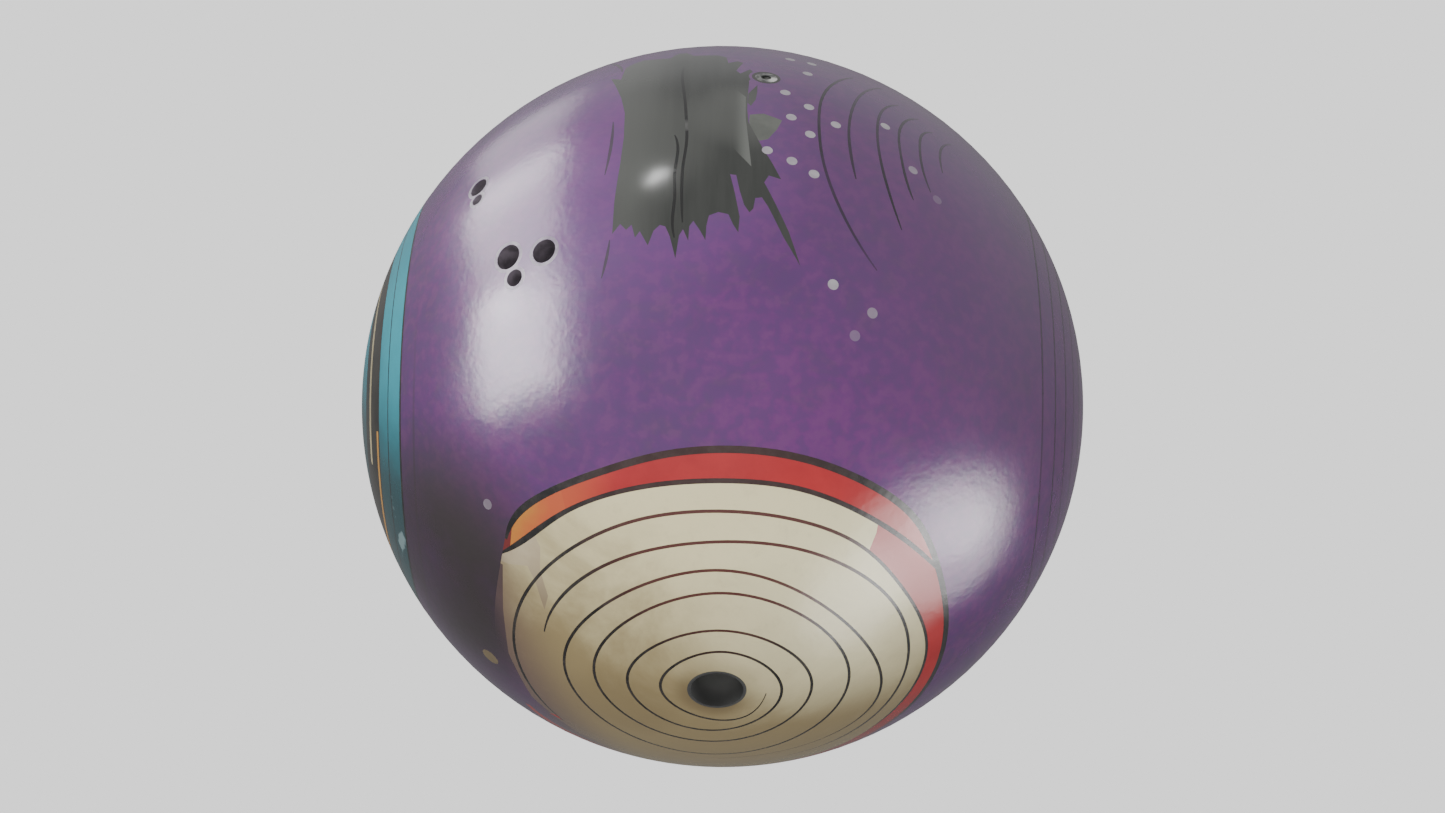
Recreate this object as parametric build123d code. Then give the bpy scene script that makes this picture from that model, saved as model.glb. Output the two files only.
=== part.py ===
from build123d import *
import os
from math import cos, hypot, pi, radians, sin, sqrt

# Bowling ball, taken apart as it would be on a bench: a weight block with its flip block, cast in a
# filler core, inside a coverstock that is drilled, fitted with inserts and engraved, every engraving
# being filled flush with its own colour. Millimetres and degrees. The origin is the ball's centre,
# +Z is up, the balance hole opens straight forward along -Y, the ringed caps face -X and +X.

# ---- driving dimensions -------------------------------------------------------------------------
BALL_RADIUS = 108.5
COVER_WALL = 25.4
INLAY_DEPTH = 1.2  # every engraving is this deep, and its fill is flush with the ball
CUTTER_RISE = 1.0  # how far a cutter stands out of the ball, so that it leaves no skin

BALANCE_BORE_RADIUS = 7.15
BALANCE_SLEEVE_WALL = 0.8
BALANCE_DEPTH = 45.0
SLEEVE_FLOOR = 1.5

GRIP_RADIUS = 3.6  # the upper left hole
RIGHT_GRIP_RADIUS = 3.4
LOWER_GRIP_RADIUS = 2.4
GRIP_DEPTH = 20.0
VENT_RADIUS = 2.9
SMALL_VENT_RADIUS = 1.8
VENT_DEPTH = 14.0
INSERT_WALL = 1.0
INSERT_FLOOR = 1.5
LOWER_GRIP_WEB = 0.76  # what is left between two bores of one insert
SMALL_VENT_WEB = 0.5
RIGHT_GRIP_WEB = 2.18  # what is left of the cover between the two grip inserts, at the surface

PIN_RADIUS = 3.1
PIN_DIMPLE_RADIUS = 1.4
PIN_DIMPLE_DEPTH = 1.0
PIN_COLLAR_WIDTH = 0.9

BLOCK_BELLY_RADIUS = 36.0
BLOCK_NECK_RADIUS = 19.0
BLOCK_CROWN_RADIUS = 25.0
BLOCK_BASE_RADIUS = 22.3
BLOCK_BELLY_HEIGHT = -12.0  # heights along the pin's line, from the ball's centre
BLOCK_BASE_HEIGHT = -38.0
BLOCK_NECK_HEIGHT = 20.0
BLOCK_CROWN_HEIGHT = 36.0
BLOCK_FLARE = (1.0, 0.6)  # the way that its side leaves the base and reaches the crown
FLIP_RADIUS = 14.0
FLIP_THICKNESS = 12.0

DOT_RADIUS = 1.45
INK_WIDTH = 0.8
OUTLINE_WIDTH = 1.5
DIVIDER_WIDTH = 1.1
BLUNT_END = 0.4  # how wide a drawn line is at its ends, as a share of its width
FINE_END = 0.3

# ---- planes that the artwork is laid out on; each looks out through the ball's skin ----------------
FRONT = Plane(origin=(0, 0, 0), x_dir=(1, 0, 0), z_dir=(0, -1, 0))
TOP = Plane.XY
SHOULDER_TILT = 30.0
SHOULDER = Plane(
    origin=(0, 0, 0),
    x_dir=(cos(radians(SHOULDER_TILT)), 0, -sin(radians(SHOULDER_TILT))),
    z_dir=(sin(radians(SHOULDER_TILT)), 0, cos(radians(SHOULDER_TILT))),
)
GRIP_TILT = -35.0
GRIP_SIDE = Plane(
    origin=(0, 0, 0),
    x_dir=(cos(radians(GRIP_TILT)), 0, -sin(radians(GRIP_TILT))),
    z_dir=(sin(radians(GRIP_TILT)), 0, cos(radians(GRIP_TILT))),
)
LEFT = Plane(origin=(0, 0, 0), x_dir=(0, -1, 0), z_dir=(-1, 0, 0))
RIGHT = Plane(origin=(0, 0, 0), x_dir=(0, -1, 0), z_dir=(1, 0, 0))

# ---- where the holes and the pin are, as (x, y) on the plane named --------------------------------
GRIP_AT = (3.8, -33.1)  # GRIP_SIDE
VENT_AT = (-6.2, -1.7)
PIN_AT = (11.8, 22.6)  # TOP
# which way the bores beside them lie, in degrees round from the plane's own x axis
LOWER_GRIP_BEARING = -82.35
RIGHT_GRIP_BEARING = -15.03
SMALL_VENT_BEARING = -90.0

# ---- outlines of the artwork, millimetres on the plane named --------------------------------------
# FRONT: the round panel about the balance hole
PANEL_INKED_EDGE = [
    (-56.0, 35.0), (-52.8, 43.5), (-46.0, 50.6), (-30.0, 60.6), (-15.0, 66.4), (0.0, 68.5),
    (20.0, 65.8), (40.0, 55.6), (52.0, 43.5), (59.0, 27.0), (62.8, 5.0), (62.0, -12.0),
    (56.0, -32.0), (45.0, -47.5),
]
PANEL_PLAIN_EDGE = [
    (45.0, -47.5), (24.0, -62.5), (0.0, -68.0), (-22.0, -65.0), (-42.0, -54.5), (-50.8, -46.0),
    (-57.0, -31.0), (-60.5, -8.0), (-60.5, 8.0), (-58.2, 24.0), (-56.0, 35.0),
]
DIVIDER = [
    (-57.5, 30.0), (-54.0, 33.5), (-40.0, 47.8), (-20.0, 58.3), (0.0, 61.3), (20.0, 58.5),
    (37.0, 49.5), (50.0, 37.5), (62.5, 19.0),
]
OUTER_RING = [
    (-44.0, -35.0), (-52.5, -18.0), (-55.5, 0.0), (-51.5, 20.0), (-38.5, 39.0), (-20.0, 51.0),
    (0.0, 54.6), (20.0, 51.3), (36.0, 42.3), (47.5, 27.5), (54.5, 12.0), (57.0, -2.0),
    (55.2, -16.0), (50.0, -29.0), (41.0, -42.0),
]
NEXT_RING = [
    (-46.3, 10.5), (-40.5, 25.5), (-25.0, 40.3), (0.0, 47.3), (20.0, 44.4), (36.0, 34.8),
    (47.5, 19.5), (51.8, 0.0), (48.0, -20.0), (37.0, -36.0), (20.0, -45.0),
]
# the inner spiral starts to the right of the hole; its radius then at each quarter turn clockwise
SPIRAL_TIP = (13.2, -2.0)
SPIRAL_RADII = [
    14.1, 15.1, 15.1, 17.3, 20.0, 24.0, 22.3, 25.4, 27.3, 33.0, 33.7, 35.5, 38.0, 41.3, 40.0,
    43.5, 42.5,
]
SECOND_BAND_ZONE = [
    (42.0, 56.0), (41.6, 47.5), (41.0, 43.6), (39.4, 40.0), (38.0, 30.0), (46.0, 10.0),
    (36.0, -30.0), (-40.0, -30.0), (-60.0, -38.0), (-60.0, -80.0), (80.0, -80.0), (80.0, 56.0),
]
# where the second band's inner edge runs on, under the ball, from one end of the outer ring
BAND_RETURN = [
    (41.0, -42.0), (24.0, -55.5), (0.0, -61.0), (-22.0, -58.3), (-41.8, -48.2), (-47.4, -44.0),
    (-56.0, -30.0),
]
ORANGE_ZONE = [(-64.0, 28.0), (-64.0, 60.0), (-43.5, 64.0), (-38.5, 47.0), (-42.0, 40.0)]
SLIVER_ZONE = [(-62.0, 28.0), (-55.0, 28.0), (-54.6, 33.6), (-54.0, 38.5), (-52.0, 44.0), (-60.0, 50.0)]
FRAYED_ZONE = [
    (-60.0, 27.5), (-55.0, 28.2), (-50.0, 30.2), (-48.0, 26.5), (-45.8, 18.5), (-44.6, 23.5),
    (-46.5, 30.5), (-46.2, 37.0), (-48.5, 41.0), (-60.0, 36.0),
]
SHADED_ZONE = [
    (-57.0, 27.0), (-57.8, 12.0), (-57.6, -6.0), (-52.5, -26.0), (-40.0, -43.0), (-22.0, -54.0),
    (-22.0, -70.0), (-70.0, -70.0), (-70.0, 27.0),
]
# TOP: the broad brush stroke and what trails off it
STROKE = [
    (-28.0, 37.5), (-28.8, 27.5), (-31.8, 30.0), (-29.8, 22.0), (-28.0, 14.5), (-26.6, 6.0),
    (-26.3, -5.0), (-26.8, -15.0), (-27.8, -27.0), (-28.0, -37.0), (-26.0, -34.6), (-24.4, -36.6),
    (-23.0, -35.4), (-22.0, -39.2), (-20.8, -37.6), (-18.6, -41.8), (-17.2, -38.0), (-15.6, -36.6),
    (-14.2, -37.2), (-13.0, -40.0), (-11.4, -46.0), (-10.6, -40.0), (-9.6, -38.4), (-8.2, -41.6),
    (-8.0, -37.6), (-7.0, -36.2), (-5.2, -39.0), (-3.8, -41.6), (-3.6, -37.6), (-3.0, -34.8),
    (-0.6, -33.8), (2.0, -34.4), (3.2, -37.2), (4.6, -39.4), (4.9, -35.0), (3.6, -28.0),
    (2.3, -22.0), (3.9, -22.2), (4.8, -27.0), (6.0, -31.4), (7.4, -33.6), (8.4, -32.4),
    (8.9, -29.2), (10.6, -28.8), (12.2, -31.4), (16.2, -39.6), (20.6, -46.6), (17.6, -38.0),
    (13.8, -29.6), (11.2, -24.0), (12.4, -21.6), (15.6, -22.4), (13.2, -17.0), (11.0, -12.6),
    (8.8, -7.0), (7.0, -2.0), (6.6, 4.0), (6.8, 12.0), (7.1, 19.4), (8.6, 24.0), (7.4, 27.6),
    (4.6, 24.0), (3.5, 26.0), (5.4, 32.6), (3.8, 33.8), (1.2, 32.0), (0.6, 37.4), (-2.0, 39.6),
    (-8.6, 40.0), (-11.0, 44.4), (-13.4, 44.2), (-15.4, 39.6), (-19.8, 40.8), (-23.0, 42.4),
    (-26.0, 40.2),
]
LEAF = [(9.4, 17.2), (6.9, 12.0), (6.7, 7.0), (7.6, 5.6), (8.9, 9.0), (9.3, 13.0)]
WASH = [
    (7.3, 1.4), (11.0, 2.4), (16.0, 0.2), (14.6, -4.0), (12.2, -8.4), (9.8, -9.4), (7.9, -5.0),
    (7.1, -2.0),
]
FOLD = [(0.6, 20.0), (3.4, 14.0), (6.2, 10.0), (6.2, 0.0), (7.2, -12.0), (7.8, -19.0), (4.4, -14.6),
        (1.0, -9.6)]
STREAKS = [
    [(-33.4, 51.0), (-31.0, 44.0), (-29.4, 38.0), (-28.8, 34.0)],
    [(-29.6, 3.0), (-29.5, -4.0), (-29.9, -11.0), (-30.8, -18.0)],
    [(-28.6, -38.5), (-29.2, -43.0), (-30.4, -48.0)],
]
CREASES = [
    [(-11.2, 29.0), (-11.3, 20.0), (-10.4, 10.0), (-9.7, 0.0), (-9.4, -11.0), (-10.1, -19.0),
     (-10.2, -28.0), (-9.8, -36.5)],
    [(-12.6, -7.0), (-11.6, -14.0), (-12.2, -21.0), (-12.0, -29.0), (-12.4, -35.0), (-11.8, -40.5)],
]
# SHOULDER: the fading contour lines
CONTOURS = [
    [(-15.5, 38.0), (-23.0, 28.0), (-28.4, 15.5), (-30.2, 0.0), (-28.8, -14.0), (-22.0, -30.0),
     (-10.5, -42.5)],
    [(-6.5, 38.0), (-15.0, 26.5), (-20.2, 13.0), (-22.0, 0.0), (-21.2, -10.5), (-19.8, -17.0)],
    [(-3.5, 28.0), (-10.5, 18.5), (-13.2, 8.0), (-13.2, -5.0), (-10.5, -17.0), (-5.5, -28.5)],
    [(2.5, 24.5), (-3.5, 17.5), (-6.5, 8.5), (-6.6, -2.0), (-4.8, -12.0), (-2.8, -17.0)],
    [(6.5, 20.0), (1.8, 14.5), (0.0, 6.5), (0.2, -3.0), (2.6, -11.0)],
    [(13.0, 19.5), (8.8, 14.0), (6.9, 7.0), (7.1, 0.0)],
]
# TOP: the white dots
DOTS = [
    (18.8, 41.5), (25.0, 41.1), (23.5, 30.2), (17.0, 14.6), (23.4, 8.8), (18.5, 2.3), (23.5, -3.9),
    (12.0, -12.7), (18.5, -15.5), (24.3, -18.8), (30.6, 2.9), (44.6, 10.1), (51.6, -5.4),
    (29.0, -49.3), (39.2, -53.2),
]
FAINT_DOTS = [(58.0, -12.5), (34.6, -59.5)]
FRONT_DOT_AT = (-60.7, 41.3)
TAN_SPOT_AT = (-63.8, -14.2)
TAN_SPOT_RADIUS = 2.8

# ---- the ringed caps, as angles from the cap's axis -----------------------------------------------
LEFT_OUTLINE = (35.7, 36.2)
OUTER_TEAL = (31.8, 35.7)
TEAL_PINSTRIPE = (31.5, 31.8)
MIDDLE_TEAL = (27.8, 31.5)
BLACK_BAND = (19.6, 27.8)
INNER_TEAL = (9.4, 19.6)
HUB_OUTLINE = (8.8, 9.4)
HUB = (0.0, 8.8)
CREAM_STRIPE = (22.3, 23.3)
CREAM_STRIPE_SPAN = (20.0, 160.0)  # start and sweep, degrees round the cap from the front, upwards
ORANGE_STRIPE = (26.5, 27.3)
ORANGE_STRIPE_SPAN = (-75.0, 110.0)
RIGHT_RINGS = [(35.3, 35.8), (30.9, 31.4), (26.5, 27.0), (22.2, 22.6), (18.0, 18.4)]

os.makedirs("parts", exist_ok=True)


def write(name, solids):
    """One node: a single solid, or a group of separate ones."""
    flat = [s for item in solids for s in item.solids()]
    shape = flat[0] if len(flat) == 1 else Compound(children=flat)
    shape.label = name
    export_step(shape, f"parts/{name}.step")


# ---- shapes on and in the skin --------------------------------------------------------------------
BALL_SEAM = Plane(origin=(0, 0, 0), x_dir=(0, 1, -1), z_dir=(1, 0, 0))


def ball(radius):
    """A sphere about the origin whose poles are on the X axis and whose seam is behind and below,
    so that no engraving crosses either."""
    return BALL_SEAM.location * Sphere(radius)


def skin(top):
    """The layer that engravings occupy, up to the radius given."""
    return ball(top) - ball(BALL_RADIUS - INLAY_DEPTH)


FILL_SKIN = skin(BALL_RADIUS)
CUT_SKIN = skin(BALL_RADIUS + CUTTER_RISE)


def raised(face, plane, layer):
    """A flat outline pushed out along its plane's normal, kept where it passes through the layer."""
    return plane.location * extrude(face, BALL_RADIUS + 2 * CUTTER_RISE) & layer


def closed_by(*lines):
    """A flat face inside lines that meet end to end."""
    return make_face([edge for line in lines for edge in line.edges()])


def polygon(points):
    return closed_by(Polyline(*points, close=True))


def side_points(points, width, ends):
    """The two sides of a drawn line: each point moved square to the line by half the width there."""
    left = []
    right = []
    last = len(points) - 1
    for i, (x, y) in enumerate(points):
        before = points[max(i - 1, 0)]
        after = points[min(i + 1, last)]
        dx = after[0] - before[0]
        dy = after[1] - before[1]
        half = width / 2 * (ends if i in (0, last) else 1.0) / hypot(dx, dy)
        left.append((x - dy * half, y + dx * half))
        right.append((x + dy * half, y - dx * half))
    return left, right


def ribbon(points, width, ends=BLUNT_END):
    """A drawn line of the width given, narrowing at both ends to that share of it."""
    left, right = side_points(points, width, ends)
    return closed_by(
        Spline(*left), Line(left[-1], right[-1]), Spline(*right[::-1]), Line(right[0], left[0])
    )


def cap_ring(plane, span, top=BALL_RADIUS, start=0.0, sweep=360.0):
    """A flush ring about a cap's axis, between two angles from it."""
    inner, outer = (radians(a) for a in span)
    middle = (inner + outer) / 2
    floor = BALL_RADIUS - INLAY_DEPTH

    def at(radius, angle):
        return (radius * sin(angle), radius * cos(angle))

    profile = closed_by(
        ThreePointArc(at(top, inner), at(top, middle), at(top, outer)),
        Line(at(top, outer), at(floor, outer)),
        ThreePointArc(at(floor, outer), at(floor, middle), at(floor, inner)),
        Line(at(floor, inner), at(top, inner)),
    )
    turned = revolve(Plane.XZ * profile, Axis.Z, sweep)
    return plane.location * Rotation(0, 0, start) * turned


def direction(plane, spot):
    """The unit vector to the point of the ball's surface above a spot of a plane."""
    x, y = spot
    z = sqrt(BALL_RADIUS**2 - x**2 - y**2)
    return (plane.x_dir * x + plane.y_dir * y + plane.z_dir * z).normalized()


def radial(axis, radius, low, high):
    """A round rod along an axis from the centre, between two heights."""
    rod = Location((0, 0, (low + high) / 2)) * Cylinder(radius, high - low)
    return Plane(origin=(0, 0, 0), z_dir=axis).location * rod


def dot(plane, spot, radius, layer):
    """A round spot, drilled square to the surface."""
    return radial(direction(plane, spot), radius, BALL_RADIUS / 2, BALL_RADIUS * 2) & layer


def clear_of_dots(fill):
    """A fill with every dot on the top drilled out of it."""
    for spot in DOTS + FAINT_DOTS:
        fill = fill - dot(TOP, spot, DOT_RADIUS, CUT_SKIN)
    return fill


# ---- sizes that follow from the driving dimensions ------------------------------------------------
CORE_RADIUS = BALL_RADIUS - COVER_WALL
PIN_LINE = direction(TOP, PIN_AT)


def beside(spot, bearing, distance):
    """The spot that lies at a bearing and a distance from another."""
    angle = radians(bearing)
    return (spot[0] + distance * cos(angle), spot[1] + distance * sin(angle))


LOWER_GRIP_AT = beside(
    GRIP_AT, LOWER_GRIP_BEARING, GRIP_RADIUS + LOWER_GRIP_WEB + LOWER_GRIP_RADIUS
)
RIGHT_GRIP_AT = beside(
    GRIP_AT,
    RIGHT_GRIP_BEARING,
    GRIP_RADIUS + INSERT_WALL + RIGHT_GRIP_WEB + INSERT_WALL + RIGHT_GRIP_RADIUS,
)
SMALL_VENT_AT = beside(
    VENT_AT, SMALL_VENT_BEARING, VENT_RADIUS + SMALL_VENT_WEB + SMALL_VENT_RADIUS
)


def midway(first, second):
    return ((first[0] + second[0]) / 2, (first[1] + second[1]) / 2)


def bore_group(plane, spots, radii, depth):
    """Parallel bores drilled along the line through the middle of the group.

    Returns the drilling line's plane, each bore's place on it and radius, and the depth.
    """
    centre = spots[0] if len(spots) == 1 else midway(*spots)
    line = direction(plane, centre)
    drill = Plane(origin=(0, 0, 0), x_dir=plane.y_dir, z_dir=line)
    places = []
    for spot in spots:
        point = direction(plane, spot) * BALL_RADIUS
        local = drill.to_local_coords(point)
        places.append((local.X, local.Y))
    return drill, list(zip(places, radii)), depth


def drilled(group, grow, low, high):
    """Rods for each bore of a group, larger by grow, between two heights along the drilling line."""
    drill, bores, depth = group
    rods = []
    for (x, y), radius in bores:
        rod = Location((x, y, (low + high) / 2)) * Cylinder(radius + grow, high - low)
        rods.append(drill.location * rod)
    return rods


def united(shapes):
    whole = shapes[0]
    for shape in shapes[1:]:
        whole = whole + shape
    return whole


def insert_body(group, wall, floor):
    """A moulded insert round the bores of a group, flush with the ball and closed at the bottom."""
    depth = group[2]
    body = united(drilled(group, wall, BALL_RADIUS - depth - floor, BALL_RADIUS + CUTTER_RISE))
    body = body & ball(BALL_RADIUS)
    for rod in drilled(group, 0.0, BALL_RADIUS - depth, BALL_RADIUS + 2 * CUTTER_RISE):
        body = body - rod
    return body


def insert_seat(group, wall, floor):
    """The counterbore that an insert is glued into."""
    depth = group[2]
    return drilled(group, wall, BALL_RADIUS - depth - floor, BALL_RADIUS + 2 * CUTTER_RISE)


GRIP_PAIR = bore_group(
    GRIP_SIDE, [GRIP_AT, LOWER_GRIP_AT], [GRIP_RADIUS, LOWER_GRIP_RADIUS], GRIP_DEPTH
)
GRIP_SINGLE = bore_group(GRIP_SIDE, [RIGHT_GRIP_AT], [RIGHT_GRIP_RADIUS], GRIP_DEPTH)
VENT_PAIR = bore_group(
    GRIP_SIDE, [VENT_AT, SMALL_VENT_AT], [VENT_RADIUS, SMALL_VENT_RADIUS], VENT_DEPTH
)
BALANCE = bore_group(FRONT, [(0.0, 0.0)], [BALANCE_BORE_RADIUS], BALANCE_DEPTH)


# ---- inside the ball ------------------------------------------------------------------------------
def along_pin(shape):
    return Plane(origin=(0, 0, 0), z_dir=PIN_LINE).location * shape


def weight_block():
    """A light-bulb shape turned about the pin's line, with a seat in its crown for the flip block."""
    side = Spline(
        (BLOCK_BASE_RADIUS, BLOCK_BASE_HEIGHT),
        (BLOCK_BELLY_RADIUS, BLOCK_BELLY_HEIGHT),
        (BLOCK_NECK_RADIUS, BLOCK_NECK_HEIGHT),
        (BLOCK_CROWN_RADIUS, BLOCK_CROWN_HEIGHT),
        tangents=[BLOCK_FLARE, BLOCK_FLARE],
    )
    profile = closed_by(
        Line((0, BLOCK_BASE_HEIGHT), side @ 0),
        side,
        Line(side @ 1, (0, BLOCK_CROWN_HEIGHT)),
        Line((0, BLOCK_CROWN_HEIGHT), (0, BLOCK_BASE_HEIGHT)),
    )
    bulb = revolve(Plane.XZ * profile, Axis.Z)
    return along_pin(bulb) - flip_block()


def flip_block():
    centre = BLOCK_CROWN_HEIGHT - FLIP_THICKNESS / 2
    return along_pin(Location((0, 0, centre)) * Cylinder(FLIP_RADIUS, FLIP_THICKNESS))


def locator_pin():
    """A rod from the flip block to the surface, dimpled at its outer end."""
    rod = radial(PIN_LINE, PIN_RADIUS, BLOCK_CROWN_HEIGHT, BALL_RADIUS + CUTTER_RISE)
    rod = rod & ball(BALL_RADIUS)
    dimple = radial(
        PIN_LINE, PIN_DIMPLE_RADIUS, BALL_RADIUS - PIN_DIMPLE_DEPTH, BALL_RADIUS + CUTTER_RISE
    )
    return rod - dimple


def pin_collar(layer):
    outer = radial(PIN_LINE, PIN_RADIUS + PIN_COLLAR_WIDTH, CORE_RADIUS, BALL_RADIUS * 2)
    inner = radial(PIN_LINE, PIN_RADIUS, CORE_RADIUS, BALL_RADIUS * 2)
    return (outer - inner) & layer


def all_seats():
    """Every insert's counterbore, which passes through whatever it meets."""
    seats = []
    seats += insert_seat(BALANCE, BALANCE_SLEEVE_WALL, SLEEVE_FLOOR)
    seats += insert_seat(GRIP_PAIR, INSERT_WALL, INSERT_FLOOR)
    seats += insert_seat(GRIP_SINGLE, INSERT_WALL, INSERT_FLOOR)
    seats += insert_seat(VENT_PAIR, INSERT_WALL, INSERT_FLOOR)
    return seats


PIN_HOLE = radial(PIN_LINE, PIN_RADIUS, BLOCK_CROWN_HEIGHT, BALL_RADIUS * 2)


def outer_core():
    """The filler, cast round the weight block."""
    core = ball(CORE_RADIUS) - weight_block() - flip_block() - PIN_HOLE
    for seat in all_seats():
        core = core - seat
    return core


# ---- the artwork's flat outlines ------------------------------------------------------------------
def spiral_points():
    """The inner spiral: its tip, then its quarter-turn radii laid out clockwise from there."""
    points = [SPIRAL_TIP]
    for turns, radius in enumerate(SPIRAL_RADII, start=1):
        angle = -turns * pi / 2
        points.append((radius * cos(angle), radius * sin(angle)))
    return points


def front_faces():
    """The round panel, shared out between its colours; the faces meet edge to edge."""
    panel = closed_by(Spline(*PANEL_INKED_EDGE), Spline(*PANEL_PLAIN_EDGE))
    outline = ribbon(PANEL_INKED_EDGE, 2 * OUTLINE_WIDTH) & panel
    far = 2 * BALL_RADIUS
    below_divider = closed_by(
        Spline(*DIVIDER),
        Polyline(DIVIDER[-1], (far, DIVIDER[-1][1]), (far, -far), (-far, -far),
                 (-far, DIVIDER[0][1]), DIVIDER[0]),
    )
    inside_ring = closed_by(
        Spline(*OUTER_RING), Spline(*BAND_RETURN), Line(BAND_RETURN[-1], OUTER_RING[0])
    )
    divider = (ribbon(DIVIDER, DIVIDER_WIDTH) & panel) - outline
    rings = [ribbon(OUTER_RING, INK_WIDTH), ribbon(NEXT_RING, INK_WIDTH)]
    spiral = ribbon(spiral_points(), INK_WIDTH)
    ring_ink = (rings[0] + rings[1] + spiral) & panel - outline - divider
    ink = outline + divider + ring_ink

    upper = panel - below_divider
    lower = panel & below_divider
    hole = Circle(BALANCE_BORE_RADIUS + BALANCE_SLEEVE_WALL)
    second_band = (lower & polygon(SECOND_BAND_ZONE)) - inside_ring
    sliver = upper & polygon(SLIVER_ZONE)
    orange = (upper & polygon(ORANGE_ZONE)) - sliver
    red = upper - orange - sliver
    frayed = lower & polygon(FRAYED_ZONE)
    shaded = (lower & polygon(SHADED_ZONE)) - frayed - second_band
    cream = lower - second_band - frayed - shaded - hole
    fills = {
        "cream_panel": cream,
        "frayed_patch": frayed,
        "shaded_edge": shaded,
        "red_band": red,
        "orange_tip": orange,
        "dark_red_sliver": sliver,
        "second_red_band": second_band,
    }
    faces = {name: face - ink for name, face in fills.items()}
    faces["panel_outline"] = outline
    faces["divider_line"] = divider
    faces["spiral_ink"] = ring_ink
    return panel, faces


def top_faces():
    """The brush stroke and its satellites."""
    stroke = polygon(STROKE)
    collar = Location((PIN_AT[0], PIN_AT[1])) * Circle(PIN_RADIUS + PIN_COLLAR_WIDTH + INK_WIDTH)
    fold = polygon(FOLD) & stroke
    creases = united([ribbon(points, INK_WIDTH) for points in CREASES]) & stroke
    return {
        "brush_stroke": stroke - collar - fold - creases,
        "stroke_fold": fold - creases,
        "stroke_creases": creases,
        "stroke_leaf": polygon(LEAF) - stroke - collar,
        "stroke_wash": polygon(WASH) - stroke,
        "stroke_streaks": united([ribbon(points, INK_WIDTH, FINE_END) for points in STREAKS]) - stroke,
    }


# ---- build and write every node -------------------------------------------------------------------
panel_face, front = front_faces()
top = top_faces()
contour_face = united([ribbon(points, INK_WIDTH) for points in CONTOURS])

cutters = [raised(panel_face, FRONT, CUT_SKIN)]
cutters += [raised(face, TOP, CUT_SKIN) for face in top.values()]
cutters += [raised(contour_face, SHOULDER, CUT_SKIN)]
cutters += [dot(TOP, spot, DOT_RADIUS, CUT_SKIN) for spot in DOTS + FAINT_DOTS]
cutters += [dot(FRONT, FRONT_DOT_AT, DOT_RADIUS, CUT_SKIN)]
cutters += [dot(FRONT, TAN_SPOT_AT, TAN_SPOT_RADIUS, CUT_SKIN)]
cutters += [cap_ring(LEFT, (0.0, LEFT_OUTLINE[1]), BALL_RADIUS + CUTTER_RISE)]
cutters += [cap_ring(RIGHT, ring, BALL_RADIUS + CUTTER_RISE) for ring in RIGHT_RINGS]
cutters += [pin_collar(CUT_SKIN), PIN_HOLE]
cutters += all_seats()

cover = ball(BALL_RADIUS) - ball(CORE_RADIUS)
for cutter in cutters:
    cover = cover - cutter

write("coverstock", [cover])
write("outer_core", [outer_core()])
write("weight_block", [weight_block()])
write("flip_block", [flip_block()])
write("locator_pin", [locator_pin()])
write("pin_collar", [pin_collar(FILL_SKIN)])
write("balance_hole_sleeve", [insert_body(BALANCE, BALANCE_SLEEVE_WALL, SLEEVE_FLOOR)])
write("grip_insert_twin", [insert_body(GRIP_PAIR, INSERT_WALL, INSERT_FLOOR)])
write("grip_insert_single", [insert_body(GRIP_SINGLE, INSERT_WALL, INSERT_FLOOR)])
write("vent_insert_twin", [insert_body(VENT_PAIR, INSERT_WALL, INSERT_FLOOR)])
for name, face in front.items():
    write(name, [raised(face, FRONT, FILL_SKIN)])
for name, face in top.items():
    write(name, [clear_of_dots(raised(face, TOP, FILL_SKIN))])
write("contour_lines", [clear_of_dots(raised(contour_face, SHOULDER, FILL_SKIN))])
write("white_dots", [dot(TOP, spot, DOT_RADIUS, FILL_SKIN) for spot in DOTS])
write("faint_dots", [dot(TOP, spot, DOT_RADIUS, FILL_SKIN) for spot in FAINT_DOTS]
      + [dot(FRONT, FRONT_DOT_AT, DOT_RADIUS, FILL_SKIN)])
write("tan_spot", [dot(FRONT, TAN_SPOT_AT, TAN_SPOT_RADIUS, FILL_SKIN)])

cream_stripe = cap_ring(LEFT, CREAM_STRIPE, BALL_RADIUS, *CREAM_STRIPE_SPAN)
orange_stripe = cap_ring(LEFT, ORANGE_STRIPE, BALL_RADIUS, *ORANGE_STRIPE_SPAN)
write("cap_outline", [cap_ring(LEFT, LEFT_OUTLINE)])
write("cap_outer_teal", [cap_ring(LEFT, OUTER_TEAL)])
write("cap_pinstripe", [cap_ring(LEFT, TEAL_PINSTRIPE)])
write("cap_middle_teal", [cap_ring(LEFT, MIDDLE_TEAL)])
write("cap_black_band", [cap_ring(LEFT, BLACK_BAND) - cream_stripe - orange_stripe])
write("cap_cream_stripe", [cream_stripe])
write("cap_orange_stripe", [orange_stripe])
write("cap_inner_teal", [cap_ring(LEFT, INNER_TEAL)])
write("cap_hub_outline", [cap_ring(LEFT, HUB_OUTLINE)])
write("cap_hub", [cap_ring(LEFT, HUB)])
write("right_cap_rings", [cap_ring(RIGHT, ring) for ring in RIGHT_RINGS])
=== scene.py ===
from math import asin, atan2, cos, degrees, pi, radians, sin, sqrt, tan

import bpy
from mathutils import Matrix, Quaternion, Vector


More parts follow.
